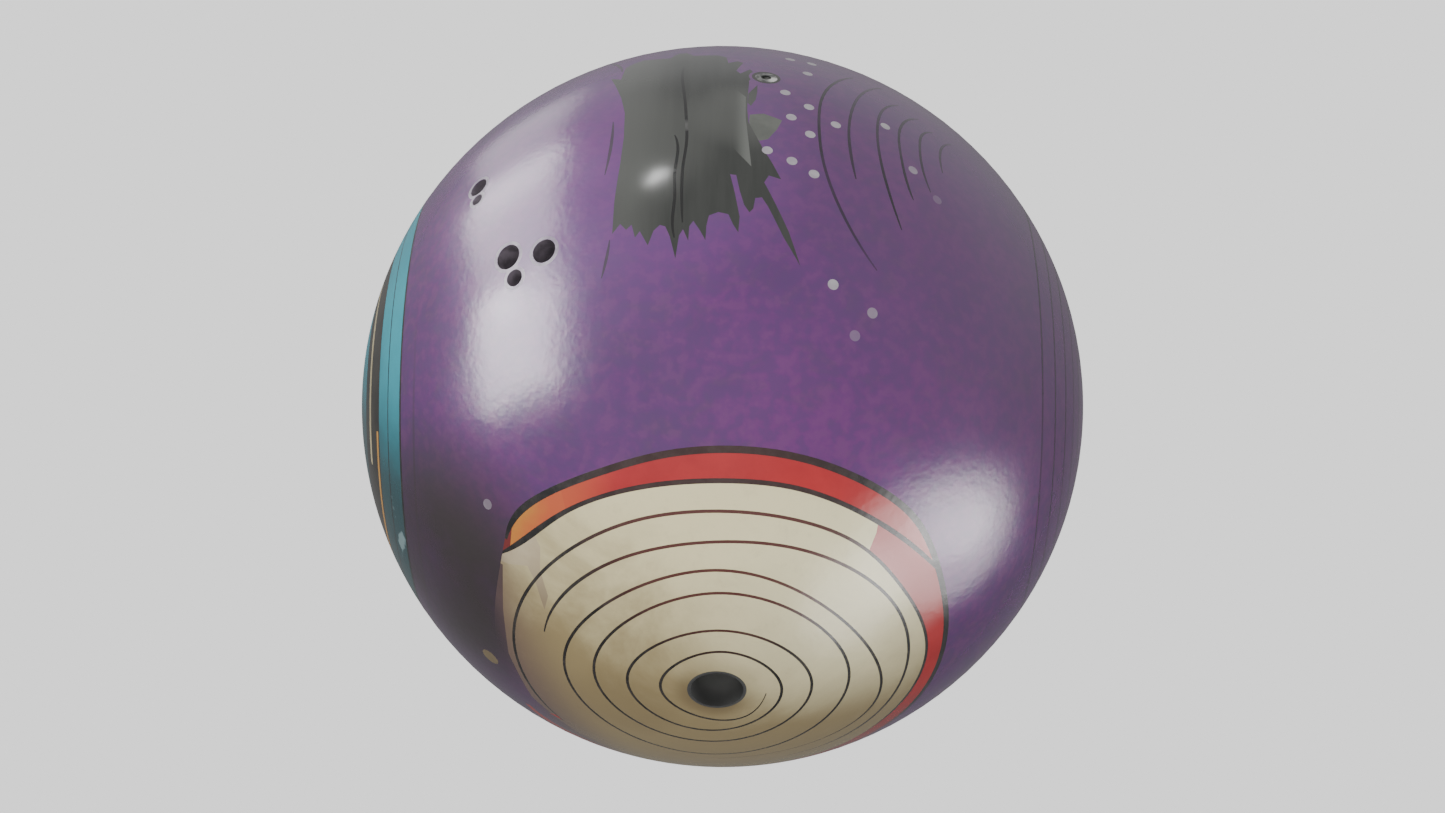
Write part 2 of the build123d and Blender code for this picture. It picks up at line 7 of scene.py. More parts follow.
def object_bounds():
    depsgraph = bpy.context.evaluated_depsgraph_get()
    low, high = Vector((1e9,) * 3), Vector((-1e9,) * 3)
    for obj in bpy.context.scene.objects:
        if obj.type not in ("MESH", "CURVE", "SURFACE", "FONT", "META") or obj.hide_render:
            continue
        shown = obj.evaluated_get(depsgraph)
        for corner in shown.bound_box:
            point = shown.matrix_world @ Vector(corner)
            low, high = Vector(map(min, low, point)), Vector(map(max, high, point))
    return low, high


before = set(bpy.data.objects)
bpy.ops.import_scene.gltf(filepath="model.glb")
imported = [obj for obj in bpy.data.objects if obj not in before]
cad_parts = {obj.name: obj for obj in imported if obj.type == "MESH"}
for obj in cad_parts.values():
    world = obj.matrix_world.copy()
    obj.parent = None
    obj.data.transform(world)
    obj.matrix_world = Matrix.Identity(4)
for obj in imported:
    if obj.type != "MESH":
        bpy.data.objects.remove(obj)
cad_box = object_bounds()
low, high = cad_box
RADIUS = (high[0] - low[0]) / 2
MM = 0.001

# the camera looks down on the front of the ball
CAMERA_HEIGHT = 44.35  # degrees above the horizon
CAMERA_TURN = 0.8  # degrees towards +X from straight in front
CAMERA_DISTANCE = 5.652  # in ball radii, from the ball's centre
LENS = 50.0
SENSOR = 36.0

# the surface's relief: noise scales in waves per metre, depths in metres
WEAVE_SCALE = 520.0
WEAVE_DEPTH = 0.0001
WAVE_SCALE = 40.0
WAVE_DEPTH = 0.0006
BRUSH_DEPTH = 0.0003
ROUGH_SCALE = 55.0


# ---- small helpers for node materials -------------------------------------------------------------
class Shader:
    """A node material, built one node at a time."""

    def __init__(self, name):
        self.material = bpy.data.materials.new(name)
        self.material.use_nodes = True
        self.tree = self.material.node_tree
        self.bsdf = self.tree.nodes["Principled BSDF"]
        self.place = self.node("ShaderNodeTexCoord").outputs["Object"]

    def node(self, kind, **values):
        made = self.tree.nodes.new(kind)
        for name, value in values.items():
            setattr(made, name, value)
        return made

    def link(self, source, target):
        self.tree.links.new(source, target)

    def put(self, socket, value):
        """Set a socket to a number or colour, or link another socket to it."""
        if isinstance(value, bpy.types.NodeSocket):
            self.link(value, socket)
        elif isinstance(value, tuple) and len(value) == 3 and socket.type == "RGBA":
            socket.default_value = (*value, 1.0)
        else:
            socket.default_value = value

    def noise(self, scale, detail=4.0, roughness=0.55, distortion=0.0, place=None):
        """Noise with that many waves per metre, or per unit of the place given."""
        made = self.node("ShaderNodeTexNoise")
        made.inputs["Scale"].default_value = scale
        made.inputs["Detail"].default_value = detail
        made.inputs["Roughness"].default_value = roughness
        made.inputs["Distortion"].default_value = distortion
        self.link(place or self.place, made.inputs["Vector"])
        return made.outputs["Fac"]

    def stretched(self, x, y, z):
        """The object's own coordinates, scaled by axis."""
        made = self.node("ShaderNodeMapping")
        made.inputs["Scale"].default_value = (x, y, z)
        self.link(self.place, made.inputs["Vector"])
        return made.outputs["Vector"]

    def ramp(self, value, start, end, low=0.0, high=1.0):
        """Smoothly from low to high as the value goes from start to end."""
        made = self.node("ShaderNodeMapRange", interpolation_type="SMOOTHSTEP")
        self.put(made.inputs["Value"], value)
        made.inputs["From Min"].default_value = start
        made.inputs["From Max"].default_value = end
        made.inputs["To Min"].default_value = low
        made.inputs["To Max"].default_value = high
        return made.outputs["Result"]

    def math(self, kind, a, b=0.0):
        made = self.node("ShaderNodeMath", operation=kind)
        self.put(made.inputs[0], a)
        self.put(made.inputs[1], b)
        return made.outputs["Value"]

    def mix(self, amount, first, second):
        made = self.node("ShaderNodeMix", data_type="RGBA")
        self.put(made.inputs["Factor"], amount)
        self.put(made.inputs["A"], first)
        self.put(made.inputs["B"], second)
        return made.outputs["Result"]

    def toward(self, direction):
        """The share of the radius that a point has along a direction: 1 at its pole, 0 square to it."""
        made = self.node("ShaderNodeVectorMath", operation="DOT_PRODUCT")
        self.link(self.place, made.inputs[0])
        made.inputs[1].default_value = Vector(direction).normalized() / RADIUS
        return made.outputs["Value"]

    def along(self, direction):
        """Millimetres from the ball's centre along a direction."""
        made = self.node("ShaderNodeVectorMath", operation="DOT_PRODUCT")
        self.link(self.place, made.inputs[0])
        made.inputs[1].default_value = Vector(direction).normalized() / MM
        return made.outputs["Value"]

    def around_hole(self):
        """Millimetres from the balance hole's axis."""
        flat = self.node("ShaderNodeVectorMath", operation="MULTIPLY")
        self.link(self.place, flat.inputs[0])
        flat.inputs[1].default_value = (1 / MM, 0, 1 / MM)
        made = self.node("ShaderNodeVectorMath", operation="LENGTH")
        self.link(flat.outputs["Vector"], made.inputs[0])
        return made.outputs["Value"]

    def from_centre(self):
        """Distance from the ball's centre, in ball radii."""
        made = self.node("ShaderNodeVectorMath", operation="LENGTH")
        self.link(self.place, made.inputs[0])
        return self.math("DIVIDE", made.outputs["Value"], RADIUS)

    def patch(self, direction, inner, outer):
        """1 within an angle of a direction on the ball, fading to 0 at a wider one."""
        return self.ramp(self.toward(direction), cos(radians(outer)), cos(radians(inner)))

    def bump(self, height, distance, strength, below=None):
        made = self.node("ShaderNodeBump")
        made.inputs["Strength"].default_value = strength
        made.inputs["Distance"].default_value = distance
        self.link(height, made.inputs["Height"])
        if below is not None:
            self.link(below, made.inputs["Normal"])
        return made.outputs["Normal"]

    def finish(self, color, roughness, normal):
        self.put(self.bsdf.inputs["Base Color"], color)
        self.link(roughness, self.bsdf.inputs["Roughness"])
        self.link(normal, self.bsdf.inputs["Normal"])
        return self.material


def grain(shader):
    """The fine canvas grain and slow waviness that the whole skin has."""
    weave = shader.noise(WEAVE_SCALE, detail=1.0, roughness=0.5)
    slow = shader.noise(WAVE_SCALE, detail=2.0)
    wavy = shader.bump(slow, WAVE_DEPTH, 0.2)
    return shader.bump(weave, WEAVE_DEPTH, 0.45, wavy)


def rough(shader, low, high):
    """Roughness that drifts from place to place, between two values."""
    return shader.ramp(shader.noise(ROUGH_SCALE, detail=2.0), 0.1, 0.9, low, high)


# ---- places on the ball ---------------------------------------------------------------------------
def on_front(x, z):
    """The surface point above (x, z) millimetres as seen straight from the front."""
    x, z = x * MM, z * MM
    return (x, -sqrt(RADIUS**2 - x**2 - z**2), z)


def on_top(x, y):
    """The surface point above (x, y) millimetres as seen straight from above."""
    x, y = x * MM, y * MM
    return (x, y, sqrt(RADIUS**2 - x**2 - y**2))


LEFT = (-1.0, 0.0, 0.0)
RIGHT = (1.0, 0.0, 0.0)
FRONT = (0.0, -1.0, 0.0)
UP = (0.0, 0.0, 1.0)
DOWN = (0.0, 0.0, -1.0)


# ---- materials ------------------------------------------------------------------------------------
# Distances along a direction are in millimetres, patch sizes in degrees and noise runs from 0 to 1.
PURPLE = (0.100, 0.022, 0.126)
PURPLE_RED = (0.140, 0.024, 0.158)
PURPLE_BLUE = (0.074, 0.028, 0.122)
PURPLE_GREY = (0.086, 0.042, 0.102)
PAINTED_SHEEN_PURPLE = (0.210, 0.085, 0.270)
PURPLE_WARM = (0.150, 0.040, 0.150)
# the dark of the painted shade smudge, also used for the faint line round the left cap
SHADE_AND_LINE_DARK = (0.036, 0.028, 0.030)
SHADED_PURPLE = (0.060, 0.034, 0.070)
RING_ANGLE = 40.0  # degrees from the left cap's axis to the faint line drawn round it
RING_HALF = 0.4  # half the line's width, in degrees
RING_EDGE = 0.15  # how far from its middle it starts to fade


def purple_skin(s):
    """Mottled purple: reddish and bluish clouds, greyer up on the right, a painted sheen high on the left
    and a dark smudge of painted shade low on the left.

    A faint line is drawn round the left cap, a little way out from its rim.
    """
    clouds = s.noise(14.0, detail=7.0, roughness=0.62, distortion=0.5)
    base = s.mix(s.ramp(clouds, 0.38, 0.64), PURPLE_BLUE, PURPLE_RED)
    base = s.mix(0.5, base, PURPLE)
    strokes = s.noise(1.0, detail=4.0, roughness=0.6, distortion=0.8, place=s.stretched(90.0, 130.0, 160.0))
    base = s.mix(s.ramp(strokes, 0.42, 0.68, 0.0, 0.30), base, PURPLE_RED)
    base = s.mix(s.ramp(strokes, 0.50, 0.32, 0.0, 0.38), base, PURPLE_GREY)
    specks = s.noise(300.0, detail=2.0, roughness=0.5)
    base = s.mix(s.ramp(specks, 0.46, 0.64, 0.0, 0.50), base, PURPLE_BLUE)
    base = s.mix(s.ramp(specks, 0.50, 0.34, 0.0, 0.30), base, PURPLE_WARM)
    right = s.patch((0.80, 0.10, 0.60), 10, 62)
    base = s.mix(s.math("MULTIPLY", right, 0.6), base, PURPLE_GREY)
    # painted sheen: a paler purple high on the left stands in for reflected light there
    painted_sheen = s.patch(on_top(-32, -8), 8, 34)
    base = s.mix(s.math("MULTIPLY", painted_sheen, 0.35), base, PAINTED_SHEEN_PURPLE)
    # painted shade: a darker purple low on the left front, where less light falls
    under = s.patch((-0.62, -0.55, -0.56), 14, 40)
    base = s.mix(s.math("MULTIPLY", under, 0.75), base, SHADED_PURPLE)
    inside = s.patch(LEFT, RING_ANGLE + RING_EDGE, RING_ANGLE + RING_HALF)
    outside = s.ramp(s.toward(LEFT), cos(radians(RING_ANGLE - RING_HALF)),
                     cos(radians(RING_ANGLE - RING_EDGE)))
    line = s.math("MULTIPLY", inside, outside)
    shown = s.math("MULTIPLY", s.ramp(s.along(FRONT), 20.0, 60.0), 0.4)
    base = s.mix(s.math("MULTIPLY", line, shown), base, SHADE_AND_LINE_DARK)
    # painted shade: a dark smudge low on the left front, blotched by the drift noise
    drift = s.noise(20.0, detail=5.0, roughness=0.6)
    smudge_shade = s.math("MULTIPLY", s.patch(on_front(-72, 12), 6, 27), s.ramp(drift, 0.25, 0.6, 0.65, 1.0))
    return s.mix(smudge_shade, base, SHADE_AND_LINE_DARK)


def skin_finish(s, color):
    """The gloss that the cover and its flush fills share."""
    return s.finish(color, rough(s, 0.20, 0.265), grain(s))


def make_cover():
    s = Shader("cover_purple")
    return skin_finish(s, purple_skin(s))


def make_fading(name, color, keep):
    """A flush fill that fades into the cover: keep gives how much of it is left at each place."""
    s = Shader(name)
    dark = tuple(c * 0.85 for c in color)
    tone = s.mix(s.ramp(s.noise(60.0, detail=6.0, roughness=0.65), 0.3, 0.7), dark, color)
    return skin_finish(s, s.mix(keep(s), purple_skin(s), tone))


def make_plain(name, color, spread=0.12):
    """One colour, blotched darker and lighter by the spread."""
    s = Shader(name)
    dark = tuple(c * (1 - spread) for c in color)
    light = tuple(min(c * (1 + spread), 1) for c in color)
    tone = s.mix(s.ramp(s.noise(45.0, detail=7.0, roughness=0.68), 0.3, 0.7), dark, light)
    return skin_finish(s, tone)


CREAM = (0.76, 0.68, 0.40)
CREAM_SHINE = (0.86, 0.79, 0.50)
TAN = (0.28, 0.215, 0.105)
STAIN_AND_SHADOW = (0.16, 0.115, 0.055)
FRAYED_DARK = (0.42, 0.34, 0.22)
FRAYED_LIGHT = (0.56, 0.48, 0.33)
FRAYED_LOW_SHADE = (0.26, 0.20, 0.125)
ROSE_GREY_SHADE = (0.12, 0.075, 0.07)
ROSE_DARK_SHADE = (0.085, 0.055, 0.052)


def cream_skin(s):
    """Cream at the top of the panel, with a painted highlight to its right, sinking to tan painted shade at
    its left and bottom.
    """
    # painted shade: the cream sinks to tan towards its lower left and bottom
    blots = s.noise(26.0, detail=7.0, roughness=0.62, distortion=0.4)
    drift = s.ramp(blots, 0.25, 0.75, -14.0, 14.0)
    across = s.along((-0.42, 0.0, -1.0))
    cream_shade = s.ramp(s.math("ADD", across, drift), -48.0, 12.0)
    base = s.mix(cream_shade, CREAM, TAN)
    # painted highlight: a lighter cream to the right of the panel
    right = s.math("MULTIPLY", s.patch(on_front(34, 26), 4, 26), 0.6)
    base = s.mix(right, base, CREAM_SHINE)
    # painted shade: the cream darkens to rose grey at the panel's left edge
    left = s.ramp(s.along((-1.0, 0.0, -0.35)), 34.0, 58.0)
    base = s.mix(s.math("MULTIPLY", left, 0.85), base, ROSE_GREY_SHADE)
    # painted shadow: a brown ring darkens the lower left of the balance hole's rim
    mouth = s.ramp(s.around_hole(), 13.5, 8.0)
    lower_left = s.ramp(s.along((-0.6, 0.0, -0.8)), -8.0, 6.0, 0.15, 0.75)
    base = s.mix(s.math("MULTIPLY", mouth, lower_left), base, STAIN_AND_SHADOW)
    beside = s.patch(on_front(-26, -12), 3, 10)
    base = s.mix(s.math("MULTIPLY", beside, 0.3), base, STAIN_AND_SHADOW)
    specks = s.noise(260.0, detail=4.0, roughness=0.7)
    return s.mix(s.ramp(specks, 0.50, 0.75, 0.0, 0.10), base, TAN)


def make_cream():
    s = Shader("cream")
    return skin_finish(s, cream_skin(s))


def make_frayed():
    """The worn patch at the panel's left, with painted shade: browner below and rose grey at its outer
    edge.
    """
    s = Shader("frayed")
    soft = s.ramp(s.noise(36.0, detail=5.0, roughness=0.6), 0.3, 0.7)
    tone = s.mix(soft, FRAYED_DARK, FRAYED_LIGHT)
    # painted shade: the patch turns browner lower down
    frayed_shade = s.ramp(s.along(DOWN), -34.0, -20.0)
    tone = s.mix(frayed_shade, tone, FRAYED_LOW_SHADE)
    outward = s.ramp(s.along((-1.0, 0.0, -0.2)), 48.0, 54.0, 0.0, 0.8)
    return skin_finish(s, s.mix(outward, tone, ROSE_GREY_SHADE))


def make_shaded():
    """The panel's left edge: rose grey painted shade sinking into the cover's purple, and cream again under
    the ball.
    """
    s = Shader("shaded")
    # painted shade: rose grey towards the outer edge, then the cover's purple
    tone = s.mix(s.ramp(s.noise(50.0, detail=6.0), 0.3, 0.7), ROSE_DARK_SHADE, ROSE_GREY_SHADE)
    outward = s.ramp(s.along((-1.0, 0.0, -0.25)), 51.0, 60.0, 0.1, 0.95)
    leftward = s.ramp(s.along(LEFT), 24.0, 46.0)
    return skin_finish(s, s.mix(leftward, cream_skin(s), s.mix(outward, tone, purple_skin(s))))


RED_DARK = (0.35, 0.013, 0.016)
RED_LIGHT = (0.46, 0.021, 0.023)
RED_SHEEN = (0.62, 0.28, 0.26)
RED_SHADE = (0.16, 0.014, 0.014)
ORANGE_RED = (0.51, 0.095, 0.033)
AMBER = (0.50, 0.22, 0.030)


def make_red():
    """Red, paled at its right by a painted sheen, orange high on the left and darker under the ball with
    painted shade.
    """
    s = Shader("red")
    clouds = s.noise(34.0, detail=6.0, roughness=0.65)
    tone = s.mix(s.ramp(clouds, 0.3, 0.7), RED_DARK, RED_LIGHT)
    # painted sheen: the red pales towards the right
    red_sheen = s.math("MULTIPLY", s.patch(on_front(47, 30), 4, 15), 0.45)
    tone = s.mix(red_sheen, tone, RED_SHEEN)
    orange = s.math("MULTIPLY", s.ramp(s.along(LEFT), 24.0, 42.0), s.ramp(s.along(UP), 0.0, 20.0))
    tone = s.mix(s.math("MULTIPLY", orange, 0.85), tone, ORANGE_RED)
    lower = s.ramp(s.along(DOWN), 10.0, 55.0)
    return skin_finish(s, s.mix(s.math("MULTIPLY", lower, 0.55), tone, RED_SHADE))


def make_orange():
    """The band's tip, going from orange red to amber towards the left."""
    s = Shader("orange")
    drift = s.ramp(s.noise(40.0, detail=6.0), 0.25, 0.75, -5.0, 5.0)
    where = s.math("ADD", s.along((-1.0, 0.0, 0.25)), drift)
    tone = s.mix(s.ramp(where, 52.0, 65.0), ORANGE_RED, AMBER)
    return skin_finish(s, tone)


INK = (0.008, 0.008, 0.008)
INK_WORN = (0.035, 0.030, 0.028)
INK_BROWN = (0.075, 0.025, 0.022)
SPIRAL_INK = (0.010, 0.010, 0.010)
SPIRAL_WORN = (0.045, 0.038, 0.034)
SPIRAL_BROWN = (0.115, 0.030, 0.024)


def make_ink():
    """Black line work, browner where it crosses the top of the panel."""
    s = Shader("ink_black")
    worn = s.ramp(s.noise(160.0, detail=5.0, roughness=0.7), 0.35, 0.7)
    tone = s.mix(worn, INK, INK_WORN)
    brown = s.patch(on_front(0, 54), 6, 24)
    return skin_finish(s, s.mix(s.math("MULTIPLY", brown, 0.4), tone, INK_BROWN))


def make_spiral_ink():
    """The spiral's ink: brown at the top of the panel, thinned to cream at the bottom."""
    s = Shader("spiral_ink")
    worn = s.ramp(s.noise(160.0, detail=5.0, roughness=0.7), 0.35, 0.7)
    tone = s.mix(worn, SPIRAL_INK, SPIRAL_WORN)
    brown = s.patch(on_front(2, 50), 6, 24)
    tone = s.mix(s.math("MULTIPLY", brown, 0.75), tone, SPIRAL_BROWN)
    lower = s.ramp(s.along(DOWN), 30.0, 50.0, 0.0, 0.75)
    return skin_finish(s, s.mix(lower, tone, cream_skin(s)))


STROKE_DARK = (0.028, 0.030, 0.027)
STROKE_MID = (0.044, 0.046, 0.042)
STROKE_SHEEN = (0.100, 0.103, 0.095)
STROKE_FOLD_SHEEN = (0.120, 0.125, 0.115)
WASH_DARK = (0.085, 0.09, 0.08)
WASH_LIGHT = (0.135, 0.14, 0.125)
CREASE_DARK = (0.010, 0.010, 0.010)
CREASE_PALE = (0.13, 0.13, 0.125)


def stroke_skin(s):
    """Thinned black paint: long soft streaks, with painted highlights that make it lighter to the left and
    along the fold.
    """
    streaks = s.noise(1.0, detail=5.0, roughness=0.6, place=s.stretched(260.0, 22.0, 60.0))
    base = s.mix(s.ramp(streaks, 0.35, 0.68, 0.0, 0.55), STROKE_DARK, STROKE_MID)
    # painted highlights: lighter to the left, in a band and at the right by the fold
    left = s.ramp(s.along(LEFT), 11.0, 26.0)
    base = s.mix(s.math("MULTIPLY", left, 0.55), base, STROKE_SHEEN)
    band = s.patch(on_top(-23, -8), 3, 14)
    base = s.mix(s.math("MULTIPLY", band, 0.45), base, STROKE_SHEEN)
    right = s.patch(on_top(5, 2), 2, 9)
    return s.mix(s.math("MULTIPLY", right, 0.5), base, STROKE_SHEEN)


def stroke_finish(s, color):
    """Paint is smoother than the cover and keeps the brush's ridges."""
    ridges = s.noise(1.0, detail=3.0, roughness=0.5, place=s.stretched(300.0, 14.0, 60.0))
    brushed = s.bump(ridges, BRUSH_DEPTH, 0.12)
    return s.finish(color, rough(s, 0.13, 0.18), brushed)


def make_stroke():
    s = Shader("stroke_black")
    return stroke_finish(s, stroke_skin(s))


def make_stroke_grey():
    """The paint's fold, lit by a painted highlight: it rises softly on its left and ends sharply on its
    right.
    """
    s = Shader("stroke_grey")
    # painted highlight along the fold
    lit = s.math("MULTIPLY", s.ramp(s.along(RIGHT), 2.6, 7.0),
                 s.ramp(s.along(FRONT), -19.0, -8.0))
    return stroke_finish(s, s.mix(lit, stroke_skin(s), STROKE_FOLD_SHEEN))


def make_wash():
    """Thin grey paint, blotched."""
    s = Shader("stroke_wash")
    thin = s.ramp(s.noise(90.0, detail=5.0), 0.3, 0.7)
    return stroke_finish(s, s.mix(thin, WASH_DARK, WASH_LIGHT))


def make_crease():
    """Cracked paint: dark, with pale stretches where its lip catches the light."""
    s = Shader("stroke_crease")
    pale = s.ramp(s.noise(70.0, detail=3.0), 0.56, 0.70, 0.0, 0.8)
    return stroke_finish(s, s.mix(pale, CREASE_DARK, CREASE_PALE))


SLEEVE_MOUTH = (0.026, 0.026, 0.025)
SLEEVE_PAINTED_LIGHT = (0.20, 0.20, 0.19)
RIM_DARK = (0.10, 0.06, 0.12)
RIM_LIGHT = (0.22, 0.18, 0.24)
BORE_DARK = (0.10, 0.085, 0.10)
BORE_LIGHT = (0.20, 0.17, 0.20)


def make_hole():
    """The sleeve: near black at its mouth, lightened further in by blotchy painted light."""
    s = Shader("sleeve_black")
    # painted light: the deep bore is made lighter than the light reaching it would make it
    fill_blotches = s.ramp(s.noise(120.0, detail=5.0), 0.3, 0.7, 0.7, 1.0)
    painted_fill = s.math("MULTIPLY", s.ramp(s.from_centre(), 0.99, 0.88), fill_blotches)
    return s.finish(s.mix(painted_fill, SLEEVE_MOUTH, SLEEVE_PAINTED_LIGHT), rough(s, 0.55, 0.7), grain(s))


def make_insert():
    """A moulded insert: a pale worn lip at the surface and a dark violet bore."""
    s = Shader("insert_pale")
    lip = s.ramp(s.from_centre(), 0.9965, 0.9985)
    worn = s.ramp(s.noise(240.0, detail=4.0), 0.35, 0.65)
    rim = s.mix(worn, RIM_DARK, RIM_LIGHT)
    bore = s.mix(worn, BORE_DARK, BORE_LIGHT)
    return s.finish(s.mix(lip, bore, rim), rough(s, 0.28, 0.4), grain(s))


def make_dots(name, color, amount):
    """Hand-dabbed dots, blotchy and fainter towards the right."""
    s = Shader(name)
    dabs = s.ramp(s.noise(300.0, detail=3.0), 0.3, 0.7, 0.75, 1.0)
    rightward = s.ramp(s.along((0.95, -0.30, 0.0)), 38.0, 58.0, amount, amount * 0.45)
    return skin_finish(s, s.mix(s.math("MULTIPLY", dabs, rightward), purple_skin(s), color))


TEAL = (0.014, 0.31, 0.40)
TEAL_LIGHT = (0.022, 0.37, 0.47)
TEAL_SHADED = (0.020, 0.060, 0.070)
TEAL_SCUFF = (0.35, 0.50, 0.52)
BAND_BLACK = (0.008, 0.007, 0.005)
BAND_WORN = (0.028, 0.024, 0.017)


def make_teal():
    """Teal with painted shade that greys and darkens it downwards, and small pale scuffs."""
    s = Shader("teal")
    tone = s.mix(s.ramp(s.noise(50.0, detail=6.0), 0.3, 0.7), TEAL, TEAL_LIGHT)
    # painted shade: the teal darkens and greys downwards
    drift = s.ramp(s.noise(40.0, detail=4.0), 0.3, 0.7, -4.0, 4.0)
    teal_shade = s.ramp(s.math("ADD", s.along((0.0, -0.35, -0.94)), drift), -48.0, 4.0)
    tone = s.mix(teal_shade, tone, TEAL_SHADED)
    scuffs = s.ramp(s.noise(95.0, detail=3.0, roughness=0.4), 0.70, 0.76, 0.0, 0.5)
    return skin_finish(s, s.mix(scuffs, tone, TEAL_SCUFF))


def make_band():
    s = Shader("band_black")
    tone = s.mix(s.ramp(s.noise(80.0, detail=5.0), 0.35, 0.7), BAND_BLACK, BAND_WORN)
    return skin_finish(s, tone)


PIN_DARK = (0.025, 0.027, 0.025)
PIN_ARC = (0.15, 0.15, 0.145)
PIN_GLINT = (0.55, 0.54, 0.52)
PIN_GLINT_AT = (14.0, 21.3)


def make_pin():
    """The locator pin's polished end: dark, with light arcs and a painted glint as one bright spot."""
    s = Shader("pin_pale")
    # painted glint: one bright spot on the pin's end
    bright = s.patch(on_top(*PIN_GLINT_AT), 0.5, 1.3)
    arcs = s.ramp(s.noise(330.0, detail=3.0, distortion=1.5), 0.42, 0.62)
    tone = s.mix(arcs, PIN_DARK, PIN_ARC)
    return s.finish(s.mix(bright, tone, PIN_GLINT), rough(s, 0.18, 0.26), grain(s))


def contour_keep(s):
    """The contour lines fade towards the right and out at their ends."""
    rightward = s.ramp(s.along(RIGHT), 40.0, 88.0, 1.0, 0.60)
    ends = s.ramp(s.along(FRONT), 24.0, 48.0, 1.0, 0.55)
    patchy = s.ramp(s.noise(45.0, detail=4.0), 0.3, 0.6, 0.75, 1.0)
    return s.math("MULTIPLY", s.math("MULTIPLY", rightward, ends), patchy)


def ring_keep(s):
    """The right cap's rings, faint everywhere and fainter to the front."""
    return s.ramp(s.along(FRONT), -30.0, 80.0, 0.90, 0.50)


def assign(material, *nodes):
    """Give pieces of the frame one material."""
    for node in nodes:
        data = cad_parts[node].data
        data.materials.clear()
        data.materials.append(material)


LINE_GREY = (0.016, 0.012, 0.019)
assign(make_cover(), "coverstock")
assign(make_cream(), "cream_panel")
assign(make_frayed(), "frayed_patch")
assign(make_shaded(), "shaded_edge")
assign(make_red(), "red_band", "second_red_band")
assign(make_orange(), "orange_tip")
assign(make_plain("dark_red", (0.16, 0.022, 0.022)), "dark_red_sliver")
assign(make_ink(), "panel_outline", "divider_line", "cap_outline", "cap_pinstripe", "cap_hub_outline",
       "pin_collar")
assign(make_spiral_ink(), "spiral_ink")
assign(make_stroke(), "brush_stroke", "stroke_leaf")
assign(make_crease(), "stroke_creases")
assign(make_stroke_grey(), "stroke_fold")
assign(make_wash(), "stroke_wash")
assign(make_fading("stroke_streaks", (0.040, 0.040, 0.038), lambda s: 0.8), "stroke_streaks")
assign(make_fading("contour_grey", LINE_GREY, contour_keep), "contour_lines")
assign(make_fading("ring_grey", LINE_GREY, ring_keep), "right_cap_rings")
assign(make_dots("dot_white", (0.40, 0.385, 0.40), 0.92), "white_dots")
assign(make_dots("dot_faint", (0.42, 0.39, 0.43), 0.40), "faint_dots")
assign(make_plain("tan", (0.155, 0.115, 0.060), 0.2), "tan_spot")
assign(make_pin(), "locator_pin")
assign(make_insert(), "grip_insert_twin", "grip_insert_single", "vent_insert_twin")
assign(make_hole(), "balance_hole_sleeve")
assign(make_teal(), "cap_outer_teal", "cap_middle_teal", "cap_inner_teal")
assign(make_band(), "cap_black_band")
assign(make_plain("cap_cream", (0.50, 0.42, 0.24), 0.2), "cap_cream_stripe", "cap_hub")
assign(make_plain("cap_orange", (0.55, 0.27, 0.05), 0.2), "cap_orange_stripe")
assign(make_plain("filler", (0.42, 0.39, 0.32), 0.3), "outer_core")
assign(make_plain("dense_block", (0.55, 0.13, 0.08), 0.3), "weight_block")
assign(make_plain("flip_dense", (0.08, 0.2, 0.4), 0.3), "flip_block")


# ---- floor, light and camera ----------------------------------------------------------------------
BACKDROP = 1.34  # how brightly the floor shines into the camera
HORIZON = 0.74  # how bright the surroundings are from the horizon up
UNDERGLOW = 0.24  # and how bright they are far below it
UNDERGLOW_Z = -0.55  # directions with a smaller z than this see the underglow
HORIZON_Z = 0.10  # and those with a greater z than this see the horizon's light
FLOOR_RADIUS = 6.0  # metres, as are the next two
FLOOR_GAP = 0.0002
LIGHT_DISTANCE = 1.5
PAINT_GLINT_AT = (-16.5, -24.0)


def make_floor():
    """A disc under the ball that only the camera sees, shining evenly."""
    bpy.ops.mesh.primitive_circle_add(vertices=96, radius=FLOOR_RADIUS, fill_type="NGON",
                                      location=(0, 0, low[2] - FLOOR_GAP))
    floor = bpy.context.object
    floor.name = "studio_floor"
    material = bpy.data.materials.new("pale_floor")
    material.use_nodes = True
    nodes = material.node_tree.nodes
    nodes.remove(nodes["Principled BSDF"])
    glow = nodes.new("ShaderNodeEmission")
    glow.inputs["Color"].default_value = (BACKDROP, BACKDROP, BACKDROP, 1)
    material.node_tree.links.new(glow.outputs["Emission"], nodes["Material Output"].inputs["Surface"])
    floor.data.materials.append(material)
    floor.visible_diffuse = False
    floor.visible_glossy = False
    floor.visible_shadow = False


def make_world():
    """Light from all round, dim from below and brighter above the horizon."""
    world = bpy.data.worlds.new("studio")
    bpy.context.scene.world = world
    world.use_nodes = True
    tree = world.node_tree
    place = tree.nodes.new("ShaderNodeTexCoord")
    split = tree.nodes.new("ShaderNodeSeparateXYZ")
    ramp = tree.nodes.new("ShaderNodeMapRange")
    ramp.inputs["From Min"].default_value = UNDERGLOW_Z
    ramp.inputs["From Max"].default_value = HORIZON_Z
    ramp.inputs["To Min"].default_value = UNDERGLOW
    ramp.inputs["To Max"].default_value = HORIZON
    back = tree.nodes["Background"]
    tree.links.new(place.outputs["Generated"], split.inputs["Vector"])
    tree.links.new(split.outputs["Z"], ramp.inputs["Value"])
    tree.links.new(ramp.outputs["Result"], back.inputs["Color"])
    back.inputs["Strength"].default_value = 1.0


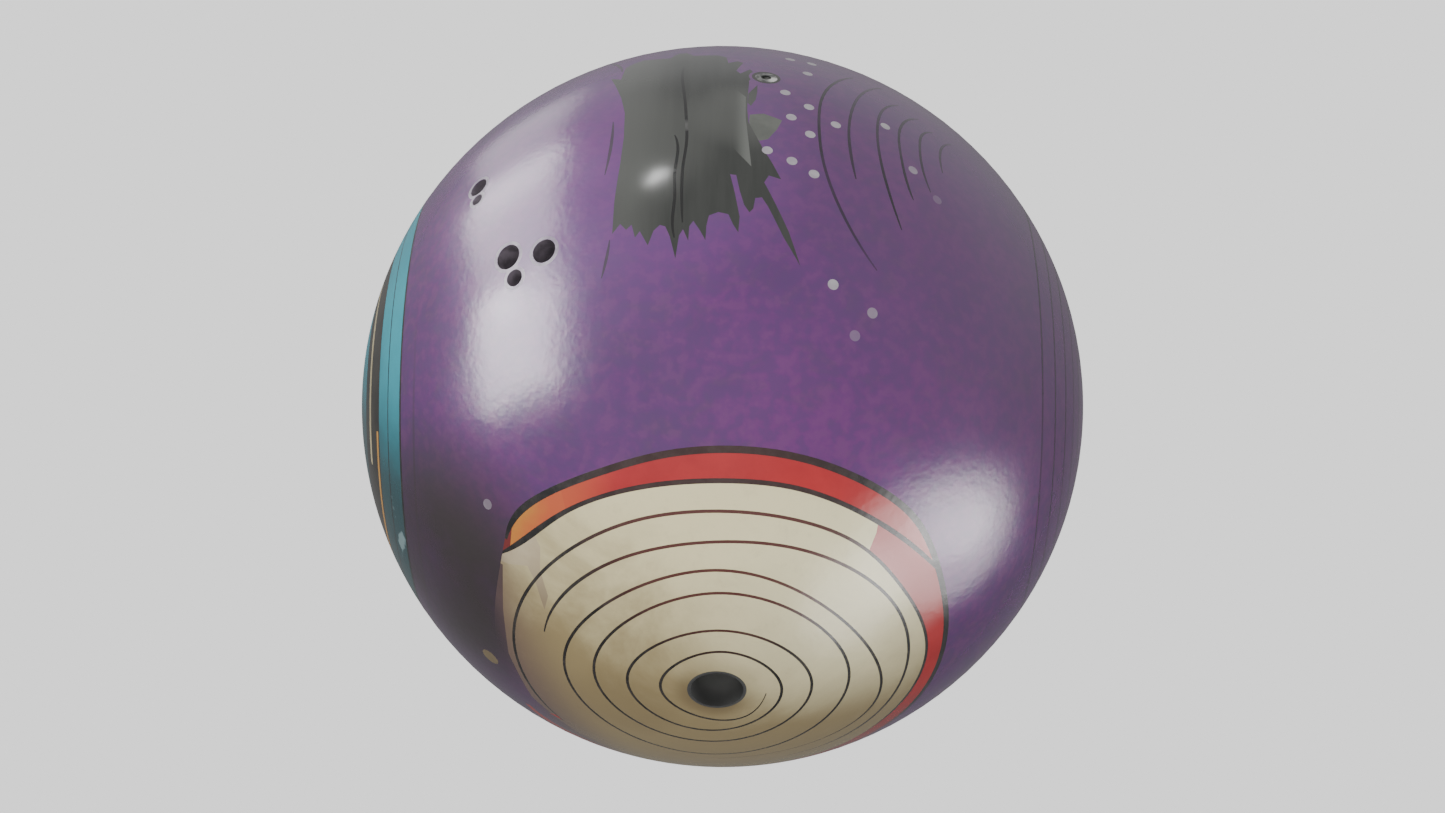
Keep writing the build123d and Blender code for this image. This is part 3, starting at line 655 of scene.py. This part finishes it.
def softbox(name, azimuth, height, across, tall, radiance, roll=0, shape="RECTANGLE",
            glossy=True, diffuse=False):
    """A soft light facing the ball from an azimuth and a height above the horizon.

    across and tall are the angles that it fills as seen from the ball, and roll tips its long side
    up towards greater azimuths, all in degrees.
    """
    data = bpy.data.lights.new(name, "AREA")
    data.shape = shape
    data.size = 2 * LIGHT_DISTANCE * tan(radians(across / 2))
    data.size_y = 2 * LIGHT_DISTANCE * tan(radians(tall / 2))
    data.energy = radiance * pi * data.size * data.size_y
    light = bpy.data.objects.new(name, data)
    side = radians(azimuth)
    up = radians(height)
    toward = Vector((cos(side) * cos(up), sin(side) * cos(up), sin(up)))
    light.location = toward * LIGHT_DISTANCE
    tip = Quaternion((0, 0, 1), radians(roll))
    light.rotation_euler = (toward.to_track_quat("Z", "Y") @ tip).to_euler()
    bpy.context.scene.collection.objects.link(light)
    light.visible_camera = False
    light.visible_glossy = glossy
    light.visible_diffuse = diffuse


def camera_place():
    """Where the camera stands, looking at the ball's centre."""
    up = radians(CAMERA_HEIGHT)
    turn = radians(CAMERA_TURN)
    return Vector((sin(turn) * cos(up), -cos(turn) * cos(up), sin(up))) * CAMERA_DISTANCE * RADIUS


def glint_direction(point):
    """The azimuth and height that a light needs to glint towards the camera at a point of the ball."""
    normal = Vector(point).normalized()
    view = (camera_place() - Vector(point)).normalized()
    toward = 2 * view.dot(normal) * normal - view
    return degrees(atan2(toward.y, toward.x)), degrees(asin(toward.z))


def make_camera():
    data = bpy.data.cameras.new("camera")
    data.lens = LENS
    data.sensor_width = SENSOR
    camera = bpy.data.objects.new("camera", data)
    camera.location = camera_place()
    camera.rotation_euler = camera_place().to_track_quat("Z", "Y").to_euler()
    data.clip_start = 0.01
    bpy.context.scene.collection.objects.link(camera)
    bpy.context.scene.camera = camera


make_floor()
make_world()
softbox("left_softbox", 187, 28, 29, 28, 23.0, roll=-25)
softbox("left_middle_softbox", 151, 28, 46, 24, 9.2, roll=30)
softbox("left_rear_softbox", 126, 11, 38, 17, 2.1, roll=50)
softbox("right_softbox", -25, -13, 32, 17, 8.5, roll=-36, shape="ELLIPSE")
softbox("right_softbox_edge", -29, -15, 56, 34, 4.6, roll=-34, shape="ELLIPSE")
softbox("right_low_softbox", -54, -20, 26, 30, 6.0, shape="ELLIPSE")
softbox("key", -115, 45, 70, 60, 2.1, glossy=False, diffuse=True)
softbox("paint_glint", *glint_direction(on_top(*PAINT_GLINT_AT)), 6, 2.2, 30.0, roll=20, shape="ELLIPSE")
make_camera()
